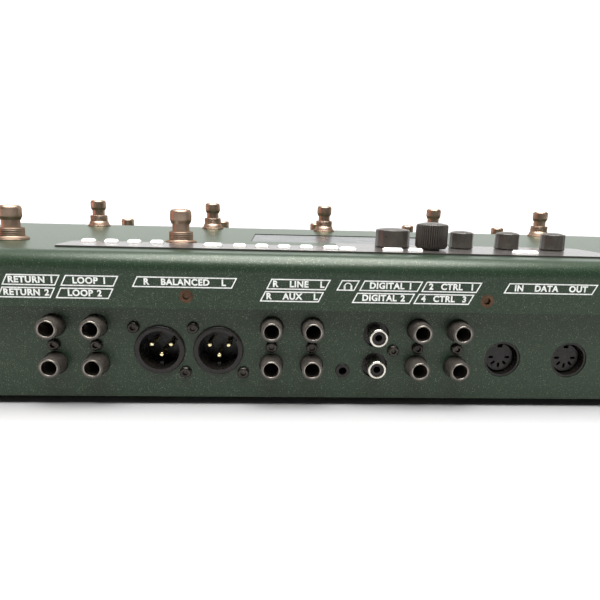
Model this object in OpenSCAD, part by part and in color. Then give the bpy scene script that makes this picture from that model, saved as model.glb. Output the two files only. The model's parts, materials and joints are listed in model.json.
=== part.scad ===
// Floor-standing multi-effects foot controller: a low folded-metal case with a
// lowered front deck, twelve foot switches, a rear strip of keys and knobs, and
// a row of audio, control and mains sockets under an overhanging hood.
// Millimetres. X runs to the player's right, Y away from the player, Z up.
// The origin is on the floor under the middle of the unit.

/* [Case] */
// Overall width of the case
body_w = 475; // [471:1:490]
// Distance from the middle of the unit to the front edge
front_reach = 147.5; // [146:0.5:152]
// Distance from the middle of the unit to the hood's face
hood_reach = 145; // [144.5:0.1:145.5]
// Sheet thickness of the cover and the tray
sheet_t = 2; // [1.8:0.1:2.2]
// Radius of the rounded edge above the hood
hood_r = 7.5; // [6:0.5:8]
// Radius of the rounded crest between the two decks
crest_r = 14; // [12:1:18]
// Radius of the rounded front edge
front_r = 9; // [6:1:12]
// Height of the upper deck along its rear edge
deck_rear_z = 70.8; // [70:0.1:72]
// Slope of the upper deck towards the player, in degrees
deck_tilt = 0.4; // [0:0.1:1]
// Height of the lower front deck
front_deck_z = 52.4; // [51:0.1:54]
// Height of the hood's lower edge
hood_low_z = 47; // [46:0.5:48]
// Gap under the case that the feet fill
foot_h = 4.2; // [3.5:0.1:5]

/* [Foot switches] */
// Distance between neighbouring foot switches
switch_pitch = 85.7; // [84:0.1:87]
// Place of the front row
front_row_y = -107; // [-112:1:-104]
// Place of the middle row
middle_row_y = -32; // [-34:1:-28]
// Place of the rear pair
rear_row_y = 95; // [94:1:95]
// Diameter of a plunger's head
head_d = 10.8; // [10:0.1:12]
// Diameter of a plunger's stem
stem_d = 8.6; // [8:0.1:9]
// Travel of a foot switch
switch_travel = 2.5; // [1.5:0.1:3]

/* [Sockets] */
// Outward place of the socket panel's face
panel_y = 140; // [139.5:0.1:140.5]
// Bore of a quarter-inch jack
jack_bore_d = 6.5; // [6.4:0.02:6.6]
// Height of the lower row of jacks
jack_low_z = 19.9; // [19.5:0.1:20.5]
// Distance between the two rows of jacks
jack_rise = 17.5; // [17:0.1:18]
// Distance between neighbouring jack columns
jack_pitch = 18.4; // [18:0.1:18.8]
// How far a jack's nose stands out of the panel
nose_out = 7.2; // [6:0.1:7.2]

/* [Keys and knobs] */
// Height of a key's top above the deck
key_top = 2.3; // [2.2:0.1:2.8]
// Front-to-back size of a key
key_depth = 4; // [3.6:0.1:4.1]
// Travel of a key
key_travel = 0.6; // [0.4:0.05:0.6]
// Diameter of the volume knob
volume_d = 17.9; // [16:0.1:19]
// Diameter of the ribbed knob
browse_d = 15.6; // [15:0.1:17]
// Diameter of the three soft knobs
soft_d = 12.3; // [11.5:0.1:13]

/* [Hidden] */

$fn = 64;
eps = 0.01;

// Case
green = [0.10, 0.19, 0.16];
inner_w = body_w - 2 * sheet_t;
deck_rear_y = hood_reach - hood_r * (1 + sin(deck_tilt));
crest_y = -48;
crest_z = deck_rear_z - (deck_rear_y - crest_y) * tan(deck_tilt);
slope_angle = 40;
floor_top_z = foot_h + sheet_t;
deck_side = [-sin(deck_tilt), cos(deck_tilt)];
slope_side = [-sin(slope_angle), cos(slope_angle)];
rear_centre = [deck_rear_y, deck_rear_z] - hood_r * deck_side;
crest_centre = [crest_y, crest_z] - crest_r * deck_side;
front_centre = [front_r - front_reach, front_deck_z - front_r];
flange_w = 12;
flange_len = 264;
rail_low_z = hood_low_z + 2;
rail_h = 11;
lip_h = 12;

// Foot switches
bushing_d = 10.6;
nut_bore_d = 10.7;
nut_h = 4.3;
nut_d = 12.2;
washer_d = 15.4;
low_washer_h = 1.7;
high_washer_h = 3.7;
neck_h = 4.5;
head_h = 6.9;
stem_low = -6;
switch_body = 17;
switch_body_h = 18;
led_forward = 12.7;
led_d = 3;
columns = [for (i = [-2 : 2]) i * switch_pitch - 1.4];
rear_columns = [85.2, 170.9];

// Keys: name order a1 to a4, b, c1 to c4, d1, d2, e1, e2, f as [x, y, width]
key_list = [
    [127.9, 107.7, 6.1], [116.9, 107.7, 6.1], [105.8, 107.7, 6.1], [94.7, 107.7, 6.1],
    [66.2, 116.3, 8.4],
    [53.5, 116.4, 6.0], [42.7, 116.4, 6.0], [32.0, 116.4, 6.0], [21.2, 116.4, 6.0],
    [9.2, 116.4, 7.2], [1.8, 122.5, 7.6],
    [-20.1, 121.4, 9.4], [-31.3, 120.9, 6.7],
    [-86.2, 119.8, 12]
];
plate_t = 0.8;
plate_rear_y = 127.6;
key_gap = 0.3;
key_lip_top = -2.4;
key_lip_h = 1;
key_foot = -6;
board_top = -10.2;
board_t = 1.6;
tact_h = -board_top + key_foot - key_travel - 0.1;

// Knobs
volume_at = [-24.4, 101];
browse_at = [-42.1, 110];
soft_list = [[-61.1, 100], [-86.1, 99], [-111, 99]];
shaft_d = 6;
shaft_bore_d = 6.1;
shaft_low = -7.6;
bushing_od = 7;
knob_low = 1;
volume_top = 10.7;
soft_top = 10;
browse_low = 1.5;
browse_top = 14.4;
shaft_in_knob = 8;
rib_count = 48;

// Display
display_x = -8;
display_y = 45;
window_w = 116;
window_h = 62;

// Sockets, with X to the player's right
jack_columns = [115.4 + jack_pitch, 115.4, 18.8 + jack_pitch, 18.8, -30.1, -30.1 - jack_pitch];
input_at = [185, 28.6];
xlr_list = [87.4, 61.2];
xlr_z = 26.7;
xlr_pin_offsets = [[-4.35, 1.6], [4.35, 1.6], [0, -3.3]];
xlr_screw = [11.3, 10.4];
phono_x = -10.5;
phono_z = [20.2, 35];
headphone_at = [4.2, 17.4];
midi_list = [-70.8, -103];
midi_z = 23.7;
ethernet_x = -129;
usb_b_x = -149;
usb_a_x = -167;
mains_at = [-196, 28];
rocker_at = [-222, 28];
nose_base_d = 10.4;
nose_front_d = 9.2;
nose_hole_d = 10.9;
ferrule_d = 8;
ferrule_len = 3;
ferrule_proud = 0.3;
jack_depth = 28;
jack_body_w = 17;
pcb_top_z = 11.4;
pcb_t = 1.6;
rocker_tilt = 8;
hood_screw_x = [207.6, 74.5, -58.6, -191.7];
hood_screw_z = 52.4;
foot_x = [-212, 0, 212];
foot_y = 122;
foot_d = 16;

// Posts, each as [x, y]
panel_post_list = [[-128, 90], [-128, 125], [-2, 90], [-50, 125.5], [76, 125.5], [132, 125.5]];
main_post_list = [[-170, -12], [0, -12], [142, -12], [-170, 70], [0, 70], [142, 70]];
supply_post_list = [[-220.3, -12], [-190, -12], [-220.3, 100], [-190, 100]];

// ---------- places ----------

// Children stand on the upper deck, at plain x and y and a height above it
module deck_frame() {
    translate([0, deck_rear_y, deck_rear_z])
        rotate([deck_tilt, 0, 0])
            translate([0, -deck_rear_y, 0])
                children();
}

// Children sit on the socket panel: their z points out of it and their x to -X
module on_panel(x, z) {
    translate([x, panel_y, z])
        rotate([90, 0, 180])
            children();
}

// Children are repeated at every foot switch, with the deck's surface at z = 0
module at_front_switches() {
    for (i = columns)
        translate([i, front_row_y, front_deck_z])
            children();
}

module at_middle_switches() {
    deck_frame()
        for (i = columns)
            translate([i, middle_row_y, 0])
                children();
}

module at_rear_switches() {
    deck_frame()
        for (i = rear_columns)
            translate([i, rear_row_y, 0])
                children();
}

module at_deck_switches() {
    at_middle_switches()
        children();
    at_rear_switches()
        children();
}

// ---------- shared shapes ----------

// A flat shape w by d with round corners
module round_rect(w, d, r) {
    square([w - 2 * r, d], center = true);
    square([w, d - 2 * r], center = true);
    for (sx = [-1, 1], sy = [-1, 1])
        translate([sx * (w / 2 - r), sy * (d / 2 - r)])
            circle(r = r);
}

// A cylinder standing on z with its top edge rounded
module round_top(d, h, r) {
    rotate_extrude() {
        square([d / 2 - r, h]);
        square([d / 2, h - r]);
        translate([d / 2 - r, h - r])
            intersection() {
                circle(r = r);
                square([r, r]);
            }
    }
}

// The six-point drive recess in a screw's head
module star_recess(d, depth) {
    linear_extrude(height = depth)
        for (a = [0, 60, 120])
            rotate(a)
                square([d, d * 0.4], center = true);
}

// A pan-head screw: head above z = 0, shank below
module pan_screw(head_d, head_h, shank_d, shank_len) {
    difference() {
        union() {
            round_top(head_d, head_h, head_h * 0.55);
            translate([0, 0, -shank_len])
                cylinder(d = shank_d, h = shank_len + eps);
        }
        translate([0, 0, head_h * 0.4])
            star_recess(head_d * 0.48, head_h);
    }
}

// A countersunk screw: flat face at z = 0, shank below
module flush_screw(head_d, shank_d, len) {
    cone_h = (head_d - shank_d) / 2;
    difference() {
        union() {
            translate([0, 0, -cone_h])
                cylinder(d1 = shank_d, d2 = head_d, h = cone_h);
            translate([0, 0, -len])
                cylinder(d = shank_d, h = len - cone_h + eps);
        }
        translate([0, 0, -1.2])
            star_recess(head_d * 0.5, 2);
    }
}

// The case's side outline, in Y and Z, drawn smaller by inset
module case_outline(inset) {
    rear_r = hood_r - inset;
    top_r = crest_r - inset;
    edge_r = front_r - inset;
    crest_low = crest_centre + top_r * slope_side;
    run = (crest_low[1] - front_deck_z + inset) / tan(slope_angle);
    polygon([
        [rear_centre[0] + rear_r, foot_h],
        rear_centre + [rear_r, 0],
        rear_centre + rear_r * deck_side,
        crest_centre + top_r * deck_side,
        crest_low,
        [crest_low[0] - run, front_deck_z - inset],
        front_centre + [0, edge_r],
        front_centre - [edge_r, 0],
        [front_centre[0] - edge_r, foot_h]
    ]);
    translate(rear_centre)
        circle(r = rear_r);
    translate(crest_centre)
        circle(r = top_r);
    translate(front_centre)
        circle(r = edge_r);
}

// The outline extruded across the unit
module case_block(inset, w) {
    rotate([90, 0, 90])
        linear_extrude(height = w, center = true)
            case_outline(inset);
}

// ---------- case ----------

module key_slots(extra, h) {
    for (k = key_list)
        translate([k[0], k[1], 0])
            linear_extrude(height = h, center = true)
                round_rect(k[2] + extra, key_depth + extra, 0.8 + extra / 2);
}

module shaft_holes(d, h) {
    for (p = concat([volume_at, browse_at], soft_list))
        translate([p[0], p[1], 0])
            cylinder(d = d, h = h, center = true);
}

module top_cover() {
    color(green) {
        difference() {
            case_block(0, body_w);
            // hollow inside
            case_block(sheet_t, inner_w);
            translate([-inner_w / 2, -front_reach + sheet_t, 0])
                cube([inner_w, hood_reach + front_reach - 2 * sheet_t, floor_top_z]);
            // open below the hood, where the socket panel stands
            translate([-inner_w / 2, 100, 0])
                cube([inner_w, 60, hood_low_z]);
            translate([-body_w, panel_y, 0])
                cube([2 * body_w, 20, hood_low_z]);
            at_front_switches()
                cylinder(d = bushing_d + 0.3, h = 12, center = true);
            at_front_switches()
                translate([0, -led_forward, 0])
                    cylinder(d = led_d + 0.2, h = 12, center = true);
            at_deck_switches()
                cylinder(d = bushing_d + 0.3, h = 12, center = true);
            at_deck_switches()
                translate([0, -led_forward, 0])
                    cylinder(d = led_d + 0.2, h = 12, center = true);
            deck_frame() {
                key_slots(2 * key_gap, 12);
                shaft_holes(bushing_od + 2, 12);
                translate([display_x, display_y, 0])
                    cube([window_w, window_h, 12], center = true);
            }
            for (x = hood_screw_x)
                translate([x, hood_reach, hood_screw_z])
                    rotate([90, 0, 180])
                        translate([0, 0, -sheet_t - eps])
                            cylinder(d1 = 3, d2 = 6.04, h = sheet_t + 2 * eps - 0.46);
            for (x = hood_screw_x)
                translate([x, hood_reach, hood_screw_z])
                    rotate([90, 0, 180])
                        translate([0, 0, -0.5])
                            cylinder(d = 6.04, h = 1);
        }
        // folded flanges that the tray is screwed to
        for (side = [-1, 1])
            difference() {
                translate([side * (inner_w - flange_w) / 2, -2, floor_top_z + sheet_t / 2])
                    cube([flange_w + eps, flange_len, sheet_t], center = true);
                tray_screw_places()
                    cylinder(d = 3, h = 20, center = true);
            }
    }
}

// Children are repeated where the tray is screwed to the cover
module tray_screw_places() {
    for (side = [-1, 1], y = [-120, -40, 40, 120])
        translate([side * (inner_w / 2 - 6), y, foot_h])
            children();
}

module panel_holes() {
    for (x = jack_columns, z = [jack_low_z, jack_low_z + jack_rise])
        on_panel(x, z)
            cylinder(d = nose_hole_d, h = 12, center = true);
    for (x = jack_columns)
        on_panel(x, jack_low_z + jack_rise / 2)
            cylinder(d = 3, h = 12, center = true);
    on_panel(input_at[0], input_at[1])
        cylinder(d = nose_hole_d, h = 12, center = true);
    on_panel(input_at[0], input_at[1] + 9.5)
        cylinder(d = 3, h = 12, center = true);
    for (x = xlr_list)
        on_panel(x, xlr_z) {
            cylinder(d = 20.4, h = 12, center = true);
            for (s = [-1, 1])
                translate([s * xlr_screw[0], -s * xlr_screw[1], 0])
                    cylinder(d = 3, h = 12, center = true);
        }
    for (z = phono_z)
        on_panel(phono_x, z)
            cylinder(d = 12, h = 12, center = true);
    on_panel(phono_x - 8.3, 27.5)
        cylinder(d = 3, h = 12, center = true);
    on_panel(headphone_at[0], headphone_at[1])
        cylinder(d = 6.8, h = 12, center = true);
    for (x = midi_list)
        on_panel(x, midi_z)
            cylinder(d = 17.2, h = 12, center = true);
    on_panel(ethernet_x, pcb_top_z + 6.8)
        cube([16.3, 13.8, 12], center = true);
    on_panel(usb_b_x, pcb_top_z + 5.6)
        cube([12.3, 11.4, 12], center = true);
    on_panel(usb_a_x, pcb_top_z + 3.6)
        cube([14.8, 7.4, 12], center = true);
    on_panel(mains_at[0], mains_at[1])
        cube([27.2, 20.2, 12], center = true);
    on_panel(rocker_at[0], rocker_at[1])
        cube([13, 19.4, 12], center = true);
}

module bottom_tray() {
    tray_w = inner_w - 0.4;
    color(green)
        difference() {
            union() {
                translate([-tray_w / 2, -front_reach + sheet_t, foot_h])
                    cube([tray_w, panel_y + front_reach - sheet_t, sheet_t]);
                // socket panel
                translate([-tray_w / 2, panel_y - sheet_t, foot_h])
                    cube([tray_w, sheet_t, rail_low_z + rail_h - foot_h]);
                // rail that carries the hood
                translate([-tray_w / 2, panel_y - sheet_t, rail_low_z])
                    cube([tray_w, hood_reach - panel_y, rail_h]);
                // lip inside the front edge
                translate([-tray_w / 2 + 20, -front_reach + sheet_t, foot_h])
                    cube([tray_w - 40, sheet_t, lip_h]);
            }
            panel_holes();
            for (x = hood_screw_x)
                translate([x, panel_y, hood_screw_z])
                    rotate([90, 0, 0])
                        cylinder(d = 3, h = 20, center = true);
            tray_screw_places()
                cylinder(d = 3, h = 20, center = true);
        }
}

module control_panel() {
    color([0.16, 0.15, 0.14])
        deck_frame()
            difference() {
                linear_extrude(height = plate_t) {
                    translate([-64, plate_rear_y - 21.3])
                        round_rect(136, 42.6, 3);
                    translate([69, plate_rear_y - 12.3])
                        round_rect(136, 24.6, 3);
                }
                key_slots(2 * key_gap, 12);
                shaft_holes(bushing_od + 2, 12);
            }
}

module display_window() {
    color([0.05, 0.07, 0.08])
        deck_frame()
            translate([display_x, display_y, -2])
                linear_extrude(height = 1.6)
                    round_rect(window_w - 0.4, window_h - 0.4, 1);
}

module display_module() {
    color([0.3, 0.32, 0.34])
        deck_frame()
            translate([display_x, display_y, -2]) {
                translate([0, 0, -4])
                    cube([window_w + 6, window_h + 8, 8], center = true);
                translate([0, -2, -9.5])
                    cube([80, 40, 3], center = true);
            }
}

// ---------- boards and supply ----------

// A block standing on a board: centre x, y and size
module board_part(x, y, z, size) {
    translate([x - size[0] / 2, y - size[1] / 2, z])
        cube(size);
}

module panel_board() {
    color([0.08, 0.3, 0.18])
        deck_frame() {
            difference() {
                union() {
                    translate([-132, 86, board_top - board_t])
                        cube([145, 43, board_t]);
                    translate([10, 105.5, board_top - board_t])
                        cube([125, 23.5, board_t]);
                }
                for (p = panel_post_list)
                    translate([p[0], p[1], board_top])
                        cylinder(d = 3.1, h = 10, center = true);
            }
            for (k = key_list)
                translate([k[0], k[1], board_top]) {
                    translate([0, 0, (tact_h - 1) / 2])
                        cube([5.2, 5.2, tact_h - 1], center = true);
                    translate([0, 0, tact_h - 1 - eps])
                        cylinder(d = 3, h = 1 + eps);
                }
            board_part(-100, 92, board_top - board_t - 6, [24, 6, 6]);
        }
}

module main_board() {
    z = pcb_top_z;
    color([0.08, 0.3, 0.18])
        difference() {
            union() {
                translate([-178, -20, z - pcb_t])
                    cube([328, 157, pcb_t]);
                // processors, converters, memory and connectors
                board_part(-20, 30, z, [28, 28, 3]);
                board_part(40, 30, z, [18, 18, 2.4]);
                board_part(80, 40, z, [14, 14, 2]);
                board_part(-70, 30, z, [22, 14, 2.2]);
                board_part(-120, 20, z, [40, 8, 9]);
                board_part(100, 0, z, [50, 8, 9]);
                for (i = [0 : 5])
                    translate([110, 30 + 8 * i, z])
                        cylinder(d = 6.3, h = 9);
                for (i = [0 : 3])
                    translate([-100 + 10 * i, 70, z])
                        cylinder(d = 8, h = 11);
            }
            for (p = main_post_list)
                translate([p[0], p[1], z])
                    cylinder(d = 3.1, h = 10, center = true);
        }
}

module power_supply() {
    z = pcb_top_z;
    color([0.75, 0.7, 0.5])
        difference() {
            union() {
                translate([-232, -18, z - pcb_t])
                    cube([48, 124, pcb_t]);
                board_part(-206, 40, z, [32, 34, 26]);
                board_part(-226, 40, z, [4, 60, 24]);
                board_part(-208, 88, z, [30, 16, 18]);
                translate([-206, 8, z])
                    cylinder(d = 18, h = 27);
                for (i = [0 : 1])
                    translate([-213 + 16 * i, -8, z])
                        cylinder(d = 10, h = 16);
            }
            for (p = supply_post_list)
                translate([p[0], p[1], z])
                    cylinder(d = 3.1, h = 10, center = true);
        }
}

module post(h) {
    difference() {
        cylinder(d = 6, h = h);
        translate([0, 0, -eps])
            cylinder(d = 3, h = h + 2 * eps);
    }
}

module standoffs() {
    color([0.8, 0.78, 0.65]) {
        for (p = concat(main_post_list, supply_post_list))
            translate([p[0], p[1], floor_top_z])
                post(pcb_top_z - pcb_t - floor_top_z);
        deck_frame()
            for (p = panel_post_list)
                translate([p[0], p[1], board_top])
                    post(-board_top - sheet_t);
    }
}

// ---------- sockets ----------

// One tapered jack nose with its bore, seated ring and contact chamber
module jack_nose() {
    difference() {
        translate([0, 0, -sheet_t - eps])
            cylinder(d1 = nose_base_d, d2 = nose_front_d, h = nose_out + sheet_t + eps);
        jack_cut();
    }
}

module jack_cut() {
    translate([0, 0, -jack_depth + 2])
        cylinder(d = jack_bore_d, h = jack_depth + nose_out);
    translate([0, 0, nose_out - ferrule_len])
        cylinder(d = ferrule_d, h = ferrule_len + 1);
}

module jack_ferrule() {
    translate([0, 0, nose_out - ferrule_len])
        difference() {
            cylinder(d = ferrule_d, h = ferrule_len + ferrule_proud);
            translate([0, 0, -eps])
                cylinder(d = jack_bore_d, h = ferrule_len + 1);
        }
}

// One stacked pair: a body standing on the board, with two noses
module jack_pair(x) {
    low = pcb_top_z - jack_low_z;
    on_panel(x, jack_low_z) {
        difference() {
            translate([-jack_body_w / 2, low, -jack_depth - sheet_t])
                cube([jack_body_w, jack_rise + 9 - low, jack_depth]);
            for (v = [0, jack_rise])
                translate([0, v, 0])
                    jack_cut();
            translate([0, jack_rise / 2, -12])
                cylinder(d = 3, h = 12);
        }
        for (v = [0, jack_rise])
            translate([0, v, 0])
                jack_nose();
    }
}

module input_jack() {
    low = pcb_top_z - input_at[1];
    on_panel(input_at[0], input_at[1]) {
        difference() {
            translate([-jack_body_w / 2, low, -jack_depth - sheet_t])
                cube([jack_body_w, 12.5 - low, jack_depth]);
            jack_cut();
            translate([0, 9.5, -12])
                cylinder(d = 3, h = 12);
        }
        jack_nose();
    }
}

module jack_sockets() {
    color([0.13, 0.12, 0.11]) {
        for (x = jack_columns)
            jack_pair(x);
        input_jack();
    }
}

module jack_ferrules() {
    color([0.7, 0.66, 0.58]) {
        for (x = jack_columns, z = [jack_low_z, jack_low_z + jack_rise])
            on_panel(x, z)
                jack_ferrule();
        on_panel(input_at[0], input_at[1])
            jack_ferrule();
    }
}

module xlr_shell() {
    low = pcb_top_z - xlr_z;
    difference() {
        union() {
            round_top(22.6, 1.5, 1);
            translate([0, 0, -16])
                cylinder(d = 20.2, h = 16 + eps);
            // flange and screw lugs behind the panel
            translate([0, 0, -sheet_t - 3]) {
                cylinder(d = 24, h = 3);
                for (s = [-1, 1])
                    translate([s * xlr_screw[0], -s * xlr_screw[1], 0])
                        cylinder(d = 7, h = 3);
            }
            translate([-12, low, -28])
                cube([24, 10 - low, 13]);
        }
        translate([0, 0, -14])
            cylinder(d = 17.9, h = 20);
        // latch notch
        rotate(40)
            translate([8.9, 0, -3])
                cube([2, 3, 12], center = true);
        for (s = [-1, 1])
            translate([s * xlr_screw[0], -s * xlr_screw[1], 0])
                cylinder(d = 3, h = 40, center = true);
    }
    // keyway rib below the lowest pin
    translate([-0.8, -9, -14 - eps])
        cube([1.6, 2.2, 11]);
}

module xlr_shells() {
    color([0.14, 0.13, 0.12])
        for (x = xlr_list)
            on_panel(x, xlr_z)
                xlr_shell();
}

module xlr_pins() {
    color([0.95, 0.88, 0.6])
        for (x = xlr_list)
            on_panel(x, xlr_z)
                for (p = xlr_pin_offsets)
                    translate([p[0], p[1], -14])
                        round_top(2.35, 11.5, 0.8);
}

module phono_block() {
    low = pcb_top_z - phono_z[0];
    color([0.1, 0.1, 0.1])
        on_panel(phono_x, phono_z[0]) {
            difference() {
                translate([-6.5, low, -sheet_t - 14])
                    cube([13, phono_z[1] - phono_z[0] + 7 - low, 14]);
                for (v = [0, phono_z[1] - phono_z[0]])
                    translate([0, v, -10])
                        cylinder(d = 3.2, h = 20);
            }
            // screw ear
            difference() {
                translate([6.5 - eps, 4, -sheet_t - 3])
                    cube([4.4, 6.6, 3]);
                translate([8.3, 27.5 - phono_z[0], -9])
                    cylinder(d = 3, h = 12);
            }
            // insulators inside the barrels
            for (v = [0, phono_z[1] - phono_z[0]])
                translate([0, v, -sheet_t - eps])
                    difference() {
                        cylinder(d = 6.4, h = 8.2);
                        translate([0, 0, -1])
                            cylinder(d = 3.2, h = 12);
                    }
        }
}

module phono_barrels() {
    color([0.85, 0.83, 0.8])
        for (z = phono_z)
            on_panel(phono_x, z)
                translate([0, 0, -sheet_t])
                    difference() {
                        round_top(8.3, 9, 0.5);
                        translate([0, 0, -eps])
                            cylinder(d = 6.4, h = 12);
                    }
}

module headphone_jack() {
    low = pcb_top_z - headphone_at[1];
    color([0.1, 0.1, 0.1])
        on_panel(headphone_at[0], headphone_at[1])
            difference() {
                union() {
                    translate([-4.5, low, -sheet_t - 13])
                        cube([9, 4.5 - low, 13]);
                    translate([0, 0, -sheet_t - eps])
                        round_top(6.6, sheet_t + 0.6, 0.3);
                }
                translate([0, 0, -12])
                    cylinder(d = 3.7, h = 20);
            }
}

module midi_socket() {
    low = pcb_top_z - midi_z;
    difference() {
        union() {
            translate([-10, low, -sheet_t - 13])
                cube([20, 9.5 - low, 13]);
            translate([0, 0, -sheet_t - eps])
                cylinder(d = 17, h = sheet_t - 0.4);
        }
        // recess, then the groove that takes the plug's sleeve
        translate([0, 0, -3.4])
            cylinder(d = 15, h = 10);
        translate([0, 0, -11])
            difference() {
                cylinder(d = 15, h = 20);
                translate([0, 0, -1])
                    cylinder(d = 13, h = 22);
            }
        // five contacts on an arc and the keyway
        for (a = [-90, -45, 0, 45, 90])
            rotate(a - 90)
                translate([3.9, 0, -9])
                    linear_extrude(height = 12)
                        round_rect(2.4, 1.2, 0.55);
        translate([0, 6, -5])
            cube([2.4, 2.4, 8], center = true);
    }
}

module midi_sockets() {
    color([0.12, 0.12, 0.12])
        for (x = midi_list)
            on_panel(x, midi_z)
                midi_socket();
}

// A metal-shelled data socket with its cavity and contact tongue
module data_socket(outer, cavity, depth, length, tongue) {
    translate([0, outer[1] / 2, 0]) {
        difference() {
            translate([-outer[0] / 2, -outer[1] / 2, -length])
                cube([outer[0], outer[1], length + 0.8]);
            translate([-cavity[0] / 2, -cavity[1] / 2, -depth])
                cube([cavity[0], cavity[1], depth + 5]);
        }
        translate([-tongue[0] / 2, tongue[2] - tongue[1] / 2, -depth - eps])
            cube([tongue[0], tongue[1], depth - 1]);
    }
}

module data_sockets() {
    color([0.72, 0.72, 0.72]) {
        on_panel(ethernet_x, pcb_top_z)
            data_socket([16, 13.4], [12, 9.5], 14, 20, [7, 1.4, -3.6]);
        on_panel(usb_b_x, pcb_top_z)
            data_socket([12, 11], [8.6, 8], 9, 16, [5.6, 3.2, 0]);
        on_panel(usb_a_x, pcb_top_z)
            data_socket([14.5, 7], [12.6, 5], 9, 14, [11, 1.8, 1.2]);
    }
}

module mains_inlet() {
    on_panel(mains_at[0], mains_at[1]) {
        color([0.08, 0.08, 0.08])
            difference() {
                union() {
                    linear_extrude(height = 2)
                        round_rect(31, 24, 2);
                    translate([0, 0, -10])
                        cube([27, 20, 20 + eps], center = true);
                }
                translate([0, 0, -15])
                    linear_extrude(height = 20)
                        polygon([
                            [-12.1, -8.2], [12.1, -8.2], [12.1, 4.4],
                            [8.3, 8.2], [-8.3, 8.2], [-12.1, 4.4]
                        ]);
            }
        color([0.8, 0.8, 0.78])
            for (p = [[0, 2], [-7, -2], [7, -2]])
                translate([p[0], p[1], -15 + 6.5])
                    cube([2, 4, 13], center = true);
    }
}

module power_switch_frame() {
    color([0.08, 0.08, 0.08])
        on_panel(rocker_at[0], rocker_at[1])
            difference() {
                union() {
                    linear_extrude(height = 1.6)
                        round_rect(15, 22, 1.5);
                    translate([0, 0, -7])
                        cube([12.8, 19.2, 14 + eps], center = true);
                }
                translate([0, 0, -2])
                    cube([9.8, 17.6, 20], center = true);
                rotate([0, 90, 0])
                    translate([2, 0, 0])
                        cylinder(d = 2.6, h = 12, center = true);
            }
}

// The rocker rests with its lower end pressed in
module power_rocker() {
    color([0.1, 0.1, 0.1])
        on_panel(rocker_at[0], rocker_at[1])
            translate([0, 0, -2])
                rotate([rocker_tilt, 0, 0]) {
                    rotate([0, -90, 0])
                        linear_extrude(height = 9.2, center = true)
                            polygon([
                                [-4, -6.5], [5.4, -7.8], [3.4, 0], [5.4, 7.8], [-4, 6.5]
                            ]);
                    rotate([0, 90, 0])
                        cylinder(d = 2.5, h = 11.6, center = true);
                }
}

// ---------- fasteners and feet ----------

module case_screws() {
    color([0.5, 0.38, 0.26])
        for (x = hood_screw_x)
            translate([x, hood_reach, hood_screw_z])
                rotate([90, 0, 180])
                    flush_screw(6, 3, 6.8);
    color([0.15, 0.15, 0.15])
        tray_screw_places()
            rotate([180, 0, 0])
                pan_screw(5.3, 1.9, 3, 3.8);
}

module panel_screws() {
    color([0.15, 0.14, 0.13]) {
        for (x = jack_columns)
            on_panel(x, jack_low_z + jack_rise / 2)
                pan_screw(5.3, 1.9, 3, 10);
        on_panel(input_at[0], input_at[1] + 9.5)
            pan_screw(5.3, 1.9, 3, 10);
        for (x = xlr_list, s = [-1, 1])
            on_panel(x - s * xlr_screw[0], xlr_z - s * xlr_screw[1])
                pan_screw(5.3, 1.9, 3, 6);
        on_panel(phono_x - 8.3, 27.5)
            pan_screw(5.3, 1.9, 3, 5);
    }
}

module rubber_feet() {
    color([0.06, 0.06, 0.06])
        for (x = foot_x, side = [-1, 1])
            translate([x, side * foot_y, 0])
                rotate([180, 0, 0])
                    translate([0, 0, -foot_h])
                        round_top(foot_d, foot_h, 1);
}

// ---------- foot switches ----------

// The fixed half below and through the deck: case, threaded bushing, bore
module switch_half(washer_h) {
    difference() {
        union() {
            translate([-switch_body / 2, -switch_body / 2, -sheet_t - switch_body_h])
                cube([switch_body, switch_body, switch_body_h]);
            translate([0, 0, -sheet_t - eps])
                cylinder(d = bushing_d, h = sheet_t + washer_h + nut_h - 0.4);
        }
        translate([0, 0, stem_low - switch_travel - 1])
            cylinder(d = stem_d + 0.12, h = 30);
    }
}

module footswitch_bodies() {
    color([0.35, 0.33, 0.3]) {
        at_front_switches()
            switch_half(high_washer_h);
        at_middle_switches()
            switch_half(high_washer_h);
        at_rear_switches()
            switch_half(low_washer_h);
    }
}

// Flared washer and dress nut that clamp one switch to the deck
module switch_nut(washer_h) {
    washer_r = washer_d / 2;
    nut_r = nut_d / 2;
    top = washer_h + nut_h;
    rotate_extrude()
        difference() {
            polygon([
                [0, 0], [washer_r, 0], [washer_r, 0.8], [washer_r - 0.5, 1.2],
                [nut_r + 0.4, washer_h], [nut_r, washer_h], [nut_r, top - 0.3],
                [nut_r - 0.3, top], [0, top]
            ]);
            translate([0, -1])
                square([nut_bore_d / 2, 20]);
        }
}

module footswitch_nuts() {
    color([0.72, 0.55, 0.36]) {
        at_front_switches()
            switch_nut(high_washer_h);
        at_middle_switches()
            switch_nut(high_washer_h);
        at_rear_switches()
            switch_nut(low_washer_h);
    }
}

// The plunger: stem, and a round-edged head
module plunger(washer_h) {
    head_low = washer_h + nut_h + neck_h;
    edge_r = 1.8;
    color([0.72, 0.55, 0.36]) {
        translate([0, 0, stem_low])
            cylinder(d = stem_d, h = head_low - stem_low + 1);
        translate([0, 0, head_low])
            rotate_extrude() {
                square([head_d / 2 - edge_r, head_h]);
                translate([0, 1.2])
                    square([head_d / 2, head_h - edge_r - 1.2]);
                polygon([[0, 0], [stem_d / 2, 0], [head_d / 2, 1.2], [0, 1.2]]);
                translate([head_d / 2 - edge_r, head_h - edge_r])
                    intersection() {
                        circle(r = edge_r);
                        square([edge_r, edge_r]);
                    }
            }
    }
}

module footswitch_front(number) {
    translate([columns[number - 1], front_row_y, front_deck_z])
        plunger(high_washer_h);
}

module footswitch_middle(number) {
    deck_frame()
        translate([columns[number - 1], middle_row_y, 0])
            plunger(high_washer_h);
}

module footswitch_rear(number) {
    deck_frame()
        translate([rear_columns[number - 1], rear_row_y, 0])
            plunger(low_washer_h);
}

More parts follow.
